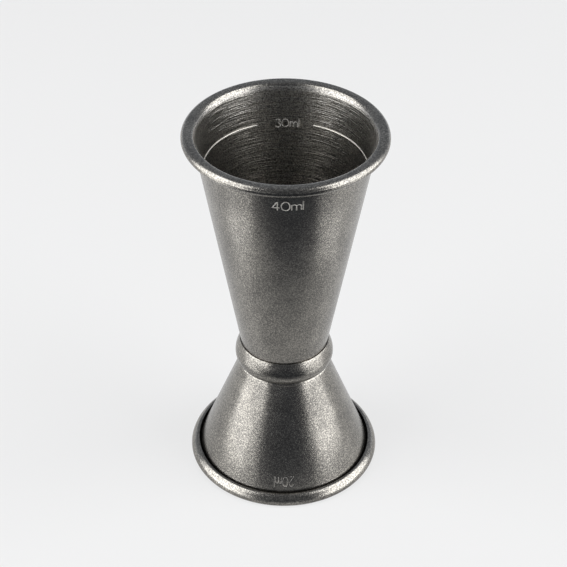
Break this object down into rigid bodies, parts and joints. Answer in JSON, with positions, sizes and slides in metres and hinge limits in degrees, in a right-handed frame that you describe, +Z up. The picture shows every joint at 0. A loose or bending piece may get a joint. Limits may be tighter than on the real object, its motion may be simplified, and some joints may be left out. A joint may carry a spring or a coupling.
{
  "type": "cocktail jigger",
  "caption": "Double-ended spun steel bar measure: a tall cone and a short cone joined floor to floor under a crowned waist collar, with rolled rims to pour from and stand on.",
  "frame": {"origin": "centre of the foot circle, where the lower rim stands on the table", "axes": "+Z up along the axis of both cones, from the smaller cup to the larger; +Y towards the gap in the fill line, -Y towards the numerals on the outside"},
  "size_m": [0.045, 0.045, 0.0904],
  "materials": {
    "stonewashed_steel": "darkened stainless steel with a fine stonewashed speckle outside and fine turning lines inside",
    "collar_steel": "darkened stainless steel with a fine stonewashed speckle",
    "weld_steel": "dull fused steel, hidden between the floors"
  },
  "bodies": {
    "root": {"upper_cup": "stonewashed_steel", "lower_cup": "stonewashed_steel", "waist_collar": "collar_steel", "floor_welds": "weld_steel"}
  },
  "joints": []
}
